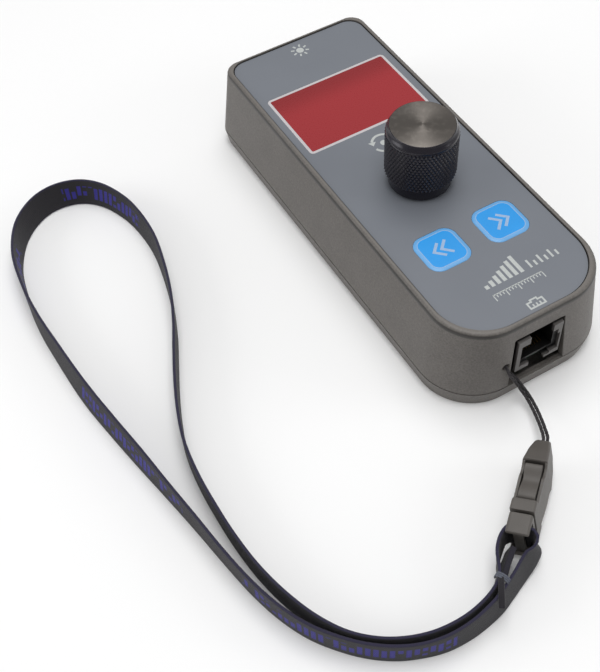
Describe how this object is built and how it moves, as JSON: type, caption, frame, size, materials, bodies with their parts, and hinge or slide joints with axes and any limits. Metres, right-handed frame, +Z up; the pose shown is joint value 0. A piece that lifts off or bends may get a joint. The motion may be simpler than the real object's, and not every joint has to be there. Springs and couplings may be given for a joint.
{
  "type": "hand controller",
  "caption": "Palm-sized hand controller: tapered case, display window, knurled rotary knob, two keys, modular jack and a wrist strap on a small side-release buckle.",
  "frame": {"origin": "centre of the case's flat underside, which rests on the table", "axes": "+Z up through the face with the knob and keys, +Y towards the display end, -Y towards the jack and the strap, +X to the right of someone reading the display"},
  "size_m": [0.1537, 0.2077, 0.0549],
  "materials": {
    "case_plastic": "fine-grained moulded plastic",
    "overlay_film": "satin printed film",
    "red_lens": "clear red filter",
    "blue_key": "satin printed film",
    "anodised": "black anodised, turned and knurled",
    "steel": "bright zinc",
    "encoder_metal": "nickel plated",
    "solder_mask": "green solder mask",
    "display_glass": "dark glass panel",
    "chip_black": "moulded epoxy",
    "jack_plastic": "moulded plastic",
    "contact_gold": "gold plated",
    "buckle_plastic": "satin moulded plastic",
    "cord_braid": "thin round braid",
    "webbing": "woven ribbon"
  },
  "bodies": {
    "case": {"top_shell": "case_plastic", "bottom_cover": "case_plastic", "front_overlay": "overlay_film", "display_window": "red_lens", "display_panel": "display_glass", "display_board": "solder_mask", "display_header": "chip_black", "front_board": "solder_mask", "main_board": "solder_mask", "board_connector": "chip_black", "encoder_housing": "encoder_metal", "encoder_washer": "steel", "encoder_nut": "steel", "jack_housing": "jack_plastic", "microcontroller": "chip_black", "crystal_can": "steel", "line_driver_chip": "chip_black", "voltage_regulator": "chip_black", "tether_cord": "cord_braid", "buckle_female": "buckle_plastic", "buckle_male": "buckle_plastic", "wrist_strap": "webbing", "key_switch_left": "chip_black", "key_switch_right": "chip_black", "jack_contact_1": "contact_gold", "jack_contact_2": "contact_gold", "jack_contact_3": "contact_gold", "jack_contact_4": "contact_gold", "jack_contact_5": "contact_gold", "jack_contact_6": "contact_gold", "jack_contact_7": "contact_gold", "jack_contact_8": "contact_gold", "cover_screw_1": "steel", "cover_screw_2": "steel", "cover_screw_3": "steel", "cover_screw_4": "steel", "main_board_screw_1": "steel", "main_board_screw_2": "steel", "main_board_screw_3": "steel", "main_board_screw_4": "steel", "front_board_screw_1": "steel", "front_board_screw_2": "steel", "front_board_screw_3": "steel", "front_board_screw_4": "steel"},
    "encoder_push": {"encoder_plunger": "chip_black"},
    "knob": {"encoder_shaft": "steel", "focus_knob": "anodised", "knob_grub_screw": "steel"},
    "left_key": {"key_left": "blue_key", "switch_plunger_left": "chip_black"},
    "right_key": {"key_right": "blue_key", "switch_plunger_right": "chip_black"},
    "latch_upper": {"buckle_latch_upper": "buckle_plastic"},
    "latch_lower": {"buckle_latch_lower": "buckle_plastic"}
  },
  "joints": [
    {"name": "knob_press", "type": "slide", "parent": "case", "child": "encoder_push", "axis": [0, 0, -1], "range_m": [0, 0.0005], "stiffness_N_per_m": 3000, "springref_m": -0.0004},
    {"name": "knob_turn", "type": "hinge", "parent": "encoder_push", "child": "knob", "pos_m": [0, -0.00986, 0.03], "axis": [0, 0, 1], "continuous": true},
    {"name": "key_left_press", "type": "slide", "parent": "case", "child": "left_key", "axis": [0, 0, -1], "range_m": [0, 0.0003], "stiffness_N_per_m": 800, "springref_m": -0.0003},
    {"name": "key_right_press", "type": "slide", "parent": "case", "child": "right_key", "axis": [0, 0, -1], "range_m": [0, 0.0003], "stiffness_N_per_m": 800, "springref_m": -0.0003},
    {"name": "latch_upper_squeeze", "type": "hinge", "parent": "case", "child": "latch_upper", "pos_m": [-0.03525, -0.11411, 0.01212], "axis": [-0.6287, 0.7493, -0.2079], "range_deg": [0, 5], "stiffness_Nm_per_rad": 0.05, "springref_deg": -1.15},
    {"name": "latch_lower_squeeze", "type": "hinge", "parent": "case", "child": "latch_lower", "pos_m": [-0.03424, -0.11532, 0.00468], "axis": [0.6287, -0.7493, 0.2079], "range_deg": [0, 5], "stiffness_Nm_per_rad": 0.05, "springref_deg": -1.15}
  ]
}
